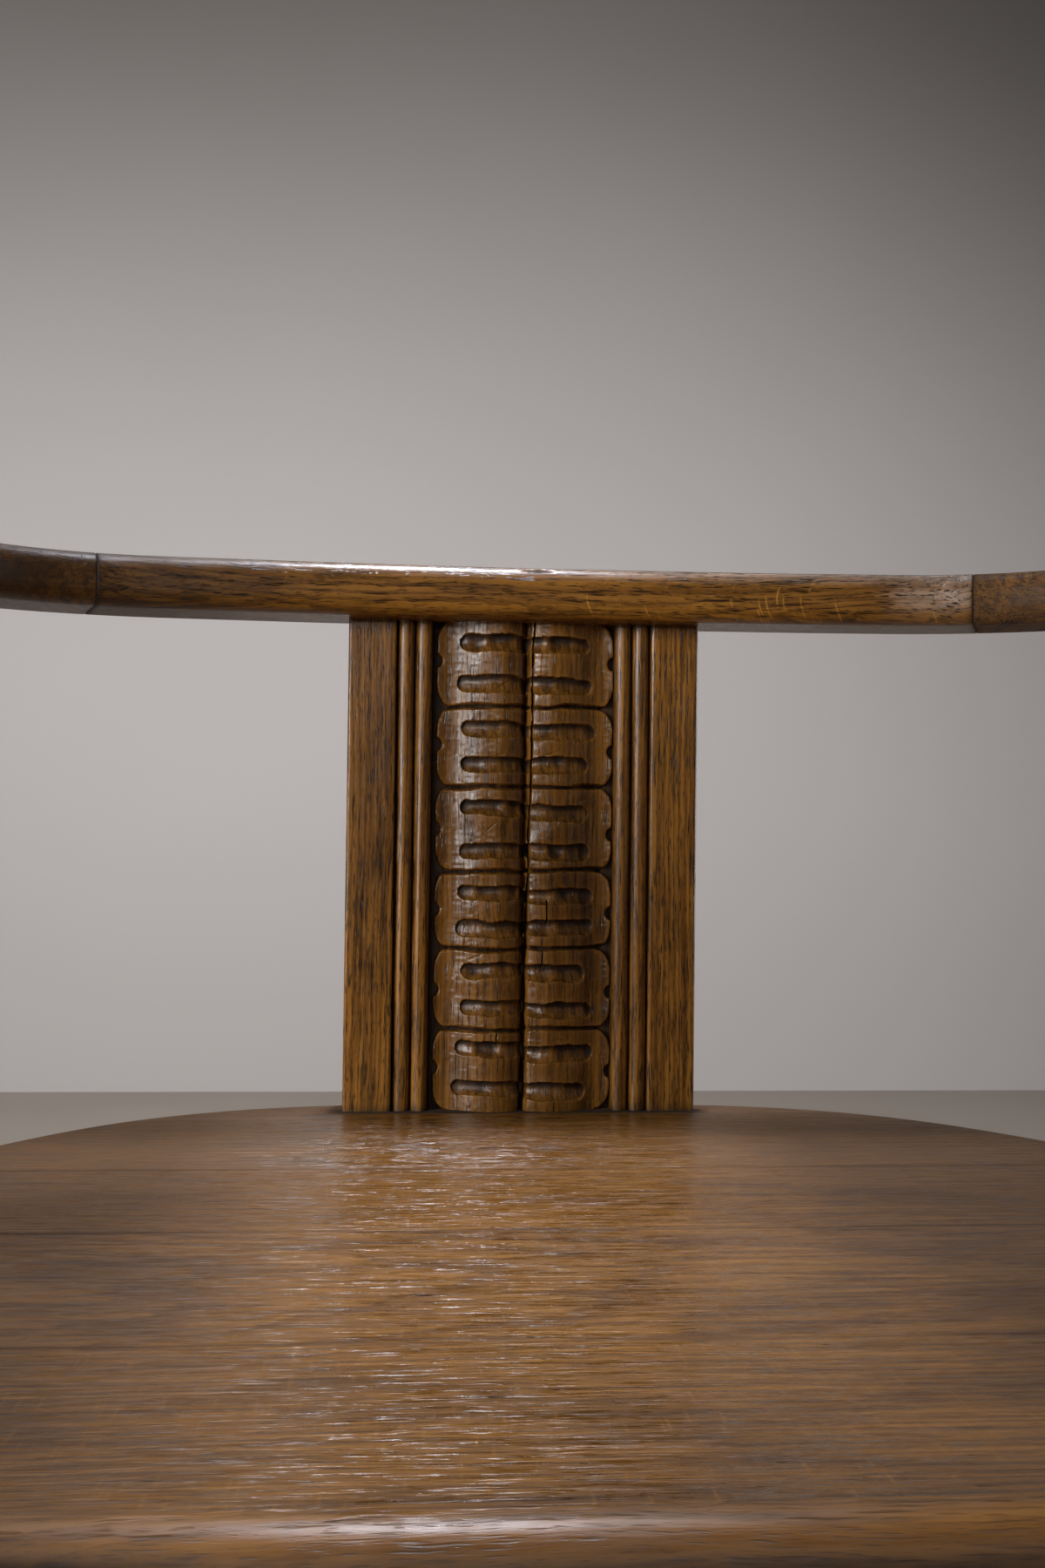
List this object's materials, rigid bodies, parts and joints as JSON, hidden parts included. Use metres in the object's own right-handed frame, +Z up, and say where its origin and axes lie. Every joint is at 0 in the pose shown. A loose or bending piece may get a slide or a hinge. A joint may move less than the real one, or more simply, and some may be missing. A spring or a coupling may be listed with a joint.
{
  "type": "swivel armchair",
  "caption": "Antique oak swivel armchair: shaped plank seat, carved fluted back splat, horseshoe arm rail, and a screw spindle with a height wheel on a splayed-leg pedestal",
  "frame": {"origin": "on the floor on the swivel axis, which is the centre of the outline's box", "axes": "+Z up along the swivel axis, -Y toward the front of the seat at rest, +X to the right of someone facing the chair"},
  "size_m": [0.5907, 0.4699, 0.688],
  "materials": {
    "oak": "stained and waxed",
    "raw_oak": "unfinished",
    "iron": "blackened",
    "steel": "oiled"
  },
  "bodies": {
    "base": {"column": "oak", "right_rear_leg": "oak", "left_rear_leg": "oak", "left_front_leg": "oak", "right_front_leg": "oak", "column_bush": "iron", "spindle_key": "steel", "bush_screws": "steel", "tie_plate": "iron", "tie_plate_screws": "steel"},
    "wheel": {"height_wheel": "iron"},
    "spindle": {"spindle": "steel", "thrust_washer": "steel", "retaining_washer": "steel", "retaining_nut": "steel"},
    "seat": {"seat_board_rear": "oak", "seat_board_mid_rear": "oak", "seat_board_mid_front": "oak", "seat_board_front": "oak", "back_rail": "oak", "left_arm": "oak", "right_arm": "oak", "back_splat": "oak", "left_arm_support": "oak", "right_arm_support": "oak", "rail_dowels": "raw_oak", "left_batten": "raw_oak", "right_batten": "raw_oak", "seat_plate": "iron", "batten_screws": "steel", "plate_screws": "steel"}
  },
  "joints": [
    {"name": "wheel_turn", "type": "hinge", "parent": "base", "child": "wheel", "pos_m": [0, 0, 0.3146], "axis": [0, 0, -1], "range_deg": [0, 2880]},
    {"name": "spindle_lift", "type": "slide", "parent": "base", "child": "spindle", "axis": [0, 0, 1], "range_m": [0, 0.064]},
    {"name": "seat_swivel", "type": "hinge", "parent": "spindle", "child": "seat", "pos_m": [0, 0, 0.37], "axis": [0, 0, 1], "continuous": true}
  ],
  "couplings": [
    {"joint": "spindle_lift", "follows": "wheel_turn", "m_per_rad": 0.0012732}
  ]
}
